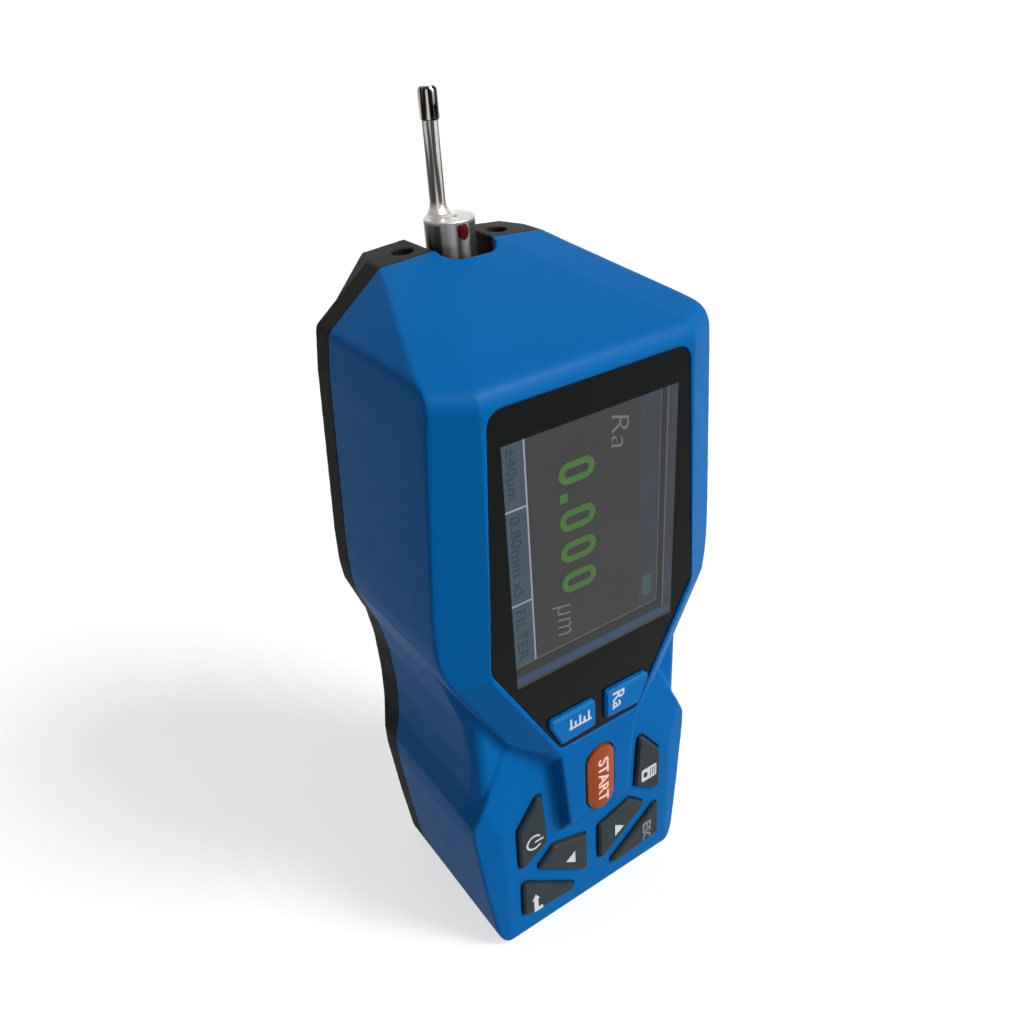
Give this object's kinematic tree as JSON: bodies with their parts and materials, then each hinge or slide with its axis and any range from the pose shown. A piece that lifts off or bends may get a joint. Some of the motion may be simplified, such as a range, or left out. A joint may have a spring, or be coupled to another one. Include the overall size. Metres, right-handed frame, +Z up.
{
  "type": "surface roughness tester",
  "caption": "Hand-held surface roughness tester with a two-part moulded case, display, key pad and a motor-driven traversing stylus pickup at its top.",
  "frame": {"origin": "centre of the flat lower end that the tester stands on", "axes": "+Z up towards the pickup, +Y to the flat back, the display faces -Y, +X to the right seen from the front"},
  "size_m": [0.0634, 0.0488, 0.1692],
  "materials": {
    "blue_shell": "fine satin moulded texture",
    "black_shell": "fine matte moulded texture",
    "window": "smooth gloss",
    "display": "smooth",
    "white_plastic": "moulded",
    "orange_key": "satin",
    "blue_key": "satin",
    "grey_key": "satin",
    "mat_rubber": "silicone",
    "board": "lacquered",
    "steel": "machined",
    "dark_steel": "blackened",
    "battery": "shrink film",
    "brass": "machined",
    "aluminium": "bead blasted",
    "dark_chrome": "polished",
    "red_lacquer": "lacquer",
    "black_plastic": "moulded"
  },
  "bodies": {
    "case": {"front_shell": "blue_shell", "rear_shell": "black_shell", "display_window": "window", "display_module": "display", "display_frame": "white_plastic", "key_mat": "mat_rubber", "main_board": "board", "board_screws": "steel", "battery_pack": "battery", "charge_socket": "steel", "drive_frame": "aluminium", "frame_screws": "steel", "drive_motor": "steel", "screw_bushes": "brass", "guide_rods": "steel", "case_screws": "dark_steel", "threaded_inserts": "dark_steel"},
    "pickup_unit": {"carriage": "black_plastic", "drive_nut": "brass", "pickup_socket": "black_plastic", "pickup_body": "aluminium", "stylus_tube": "aluminium", "skid_head": "dark_chrome", "lock_screw": "red_lacquer"},
    "screw_unit": {"lead_screw": "steel", "screw_gear": "brass"},
    "pinion": {"motor_pinion": "brass"},
    "stylus": {"stylus_lever": "steel"},
    "start_button": {"start_key": "orange_key"},
    "scale_button": {"scale_key": "blue_key"},
    "parameter_button": {"parameter_key": "blue_key"},
    "power_button": {"power_key": "grey_key"},
    "menu_button": {"menu_key": "grey_key"},
    "left_button": {"left_key": "grey_key"},
    "right_button": {"right_key": "grey_key"},
    "enter_button": {"enter_key": "grey_key"},
    "escape_button": {"escape_key": "grey_key"}
  },
  "joints": [
    {"name": "traverse", "type": "slide", "parent": "case", "child": "pickup_unit", "axis": [0, 0, 1], "range_m": [-0.0175, 0]},
    {"name": "screw_turn", "type": "hinge", "parent": "case", "child": "screw_unit", "pos_m": [0, 0.0079, 0.06], "axis": [0, 0, 1], "range_deg": [-1, 3151]},
    {"name": "pinion_turn", "type": "hinge", "parent": "case", "child": "pinion", "pos_m": [0.009, 0.0079, 0.06], "axis": [0, 0, 1], "range_deg": [-6301, 1]},
    {"name": "stylus_swing", "type": "hinge", "parent": "pickup_unit", "child": "stylus", "pos_m": [-0.00025, 0.0209, 0.1366], "axis": [1, 0, 0], "range_deg": [-0.4, 0.4], "stiffness_Nm_per_rad": 0.01},
    {"name": "start_press", "type": "slide", "parent": "case", "child": "start_button", "axis": [0, 1, 0], "range_m": [0, 0.0006], "stiffness_N_per_m": 3000},
    {"name": "scale_press", "type": "slide", "parent": "case", "child": "scale_button", "axis": [0, 1, 0], "range_m": [0, 0.0006], "stiffness_N_per_m": 3000},
    {"name": "parameter_press", "type": "slide", "parent": "case", "child": "parameter_button", "axis": [0, 1, 0], "range_m": [0, 0.0006], "stiffness_N_per_m": 3000},
    {"name": "power_press", "type": "slide", "parent": "case", "child": "power_button", "axis": [0, 1, 0], "range_m": [0, 0.0006], "stiffness_N_per_m": 3000},
    {"name": "menu_press", "type": "slide", "parent": "case", "child": "menu_button", "axis": [0, 1, 0], "range_m": [0, 0.0006], "stiffness_N_per_m": 3000},
    {"name": "left_press", "type": "slide", "parent": "case", "child": "left_button", "axis": [0, 1, 0], "range_m": [0, 0.0006], "stiffness_N_per_m": 3000},
    {"name": "right_press", "type": "slide", "parent": "case", "child": "right_button", "axis": [0, 1, 0], "range_m": [0, 0.0006], "stiffness_N_per_m": 3000},
    {"name": "enter_press", "type": "slide", "parent": "case", "child": "enter_button", "axis": [0, 1, 0], "range_m": [0, 0.0006], "stiffness_N_per_m": 3000},
    {"name": "escape_press", "type": "slide", "parent": "case", "child": "escape_button", "axis": [0, 1, 0], "range_m": [0, 0.0006], "stiffness_N_per_m": 3000}
  ],
  "couplings": [
    {"joint": "screw_turn", "follows": "traverse", "rad_per_m": -3141.6},
    {"joint": "pinion_turn", "follows": "traverse", "rad_per_m": 6283.2}
  ]
}
